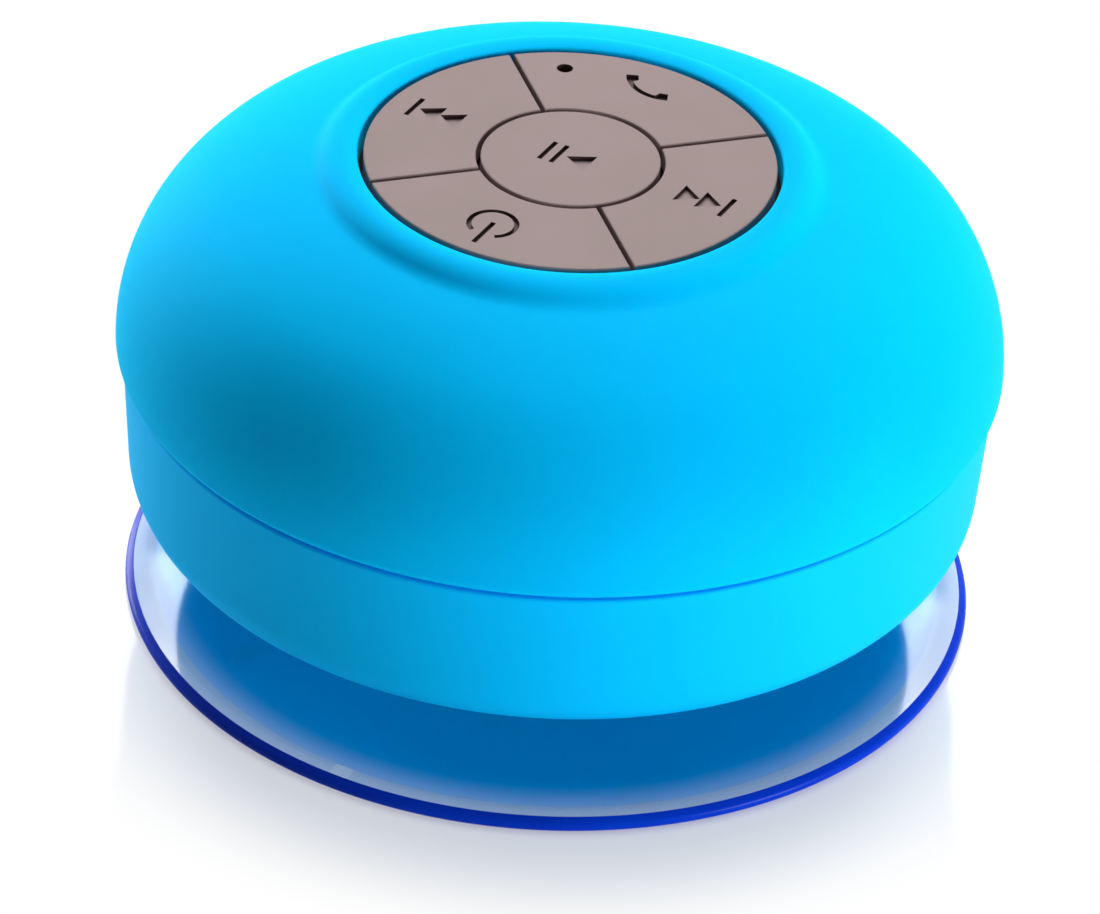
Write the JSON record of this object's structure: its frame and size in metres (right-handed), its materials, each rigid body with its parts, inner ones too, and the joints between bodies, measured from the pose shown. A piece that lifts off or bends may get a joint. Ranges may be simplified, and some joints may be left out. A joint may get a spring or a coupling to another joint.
{
  "type": "suction shower speaker",
  "caption": "Round water-resistant wireless speaker: silicone-covered dome with a split ring keypad on top, sound grille underneath and a clear suction cup for smooth walls.",
  "frame": {"origin": "centre of the suction cup's sealing plane", "axes": "+Z away from the wall through the keypad, +Y to the power key, +X to the next-track key"},
  "size_m": [0.086, 0.086, 0.0492],
  "materials": {
    "silicone_blue": "matte silicone",
    "shell_blue": "matte",
    "cup_clear": "clear soft PVC, glossy",
    "key_grey": "satin",
    "shell_dark": "matte",
    "switch_black": "matte",
    "mat_rubber": "matte",
    "board_green": "solder mask",
    "bare_steel": "plated",
    "light_white": "clear",
    "battery_foil": "foil",
    "foam_black": "foam",
    "lead_red": "insulated wire",
    "lead_black": "soft",
    "cloth_black": "woven",
    "cone_film": "film",
    "coil_copper": "wound wire",
    "magnet_dark": "ferrite"
  },
  "bodies": {
    "housing": {"silicone_cover": "silicone_blue", "lower_shell": "shell_blue", "base_grille": "shell_blue", "upper_shell": "shell_dark", "tact_switches": "switch_black", "amplifier_chip": "switch_black", "key_mat": "mat_rubber", "housing_seal": "mat_rubber", "main_board": "board_green", "radio_module": "bare_steel", "microphone": "bare_steel", "usb_socket": "bare_steel", "speaker_frame": "bare_steel", "top_plate": "bare_steel", "yoke": "bare_steel", "housing_screws": "bare_steel", "board_screws": "bare_steel", "speaker_screws": "bare_steel", "status_light": "light_white", "battery": "battery_foil", "battery_pad": "foam_black", "speaker_gasket": "foam_black", "battery_leads": "lead_red", "speaker_leads": "lead_black", "speaker_surround": "lead_black", "grille_cloth": "cloth_black", "speaker_spider": "cloth_black", "magnet": "magnet_dark"},
    "power_key": {"power_key": "key_grey", "power_button": "switch_black"},
    "next_key": {"next_key": "key_grey", "next_button": "switch_black"},
    "phone_key": {"phone_key": "key_grey", "phone_button": "switch_black"},
    "previous_key": {"previous_key": "key_grey", "previous_button": "switch_black"},
    "play_key": {"play_key": "key_grey", "play_button": "switch_black"},
    "cone": {"speaker_cone": "cone_film", "dust_cap": "cone_film", "voice_coil": "coil_copper"},
    "port_flap": {"port_flap": "silicone_blue"},
    "suction_cup": {"suction_cup": "cup_clear"}
  },
  "joints": [
    {"name": "power_press", "type": "slide", "parent": "housing", "child": "power_key", "axis": [0, 0, -1], "range_m": [0, 0.00035], "stiffness_N_per_m": 4500},
    {"name": "next_press", "type": "slide", "parent": "housing", "child": "next_key", "axis": [0, 0, -1], "range_m": [0, 0.00035], "stiffness_N_per_m": 4500},
    {"name": "phone_press", "type": "slide", "parent": "housing", "child": "phone_key", "axis": [0, 0, -1], "range_m": [0, 0.00035], "stiffness_N_per_m": 4500},
    {"name": "previous_press", "type": "slide", "parent": "housing", "child": "previous_key", "axis": [0, 0, -1], "range_m": [0, 0.00035], "stiffness_N_per_m": 4500},
    {"name": "play_press", "type": "slide", "parent": "housing", "child": "play_key", "axis": [0, 0, -1], "range_m": [0, 0.00035], "stiffness_N_per_m": 4500},
    {"name": "cone_travel", "type": "slide", "parent": "housing", "child": "cone", "axis": [0, 0, -1], "range_m": [-0.0008, 0.0008], "stiffness_N_per_m": 1500, "deforming": ["speaker_surround", "speaker_spider"]},
    {"name": "flap_hinge", "type": "hinge", "parent": "housing", "child": "port_flap", "pos_m": [0, -0.0384, 0.04048], "axis": [-1, 0, 0], "range_deg": [0, 110], "stiffness_Nm_per_rad": 0.0005},
    {"name": "cup_swivel", "type": "hinge", "parent": "housing", "child": "suction_cup", "pos_m": [0, 0, 0.0122], "axis": [0, 0, 1], "continuous": true}
  ]
}
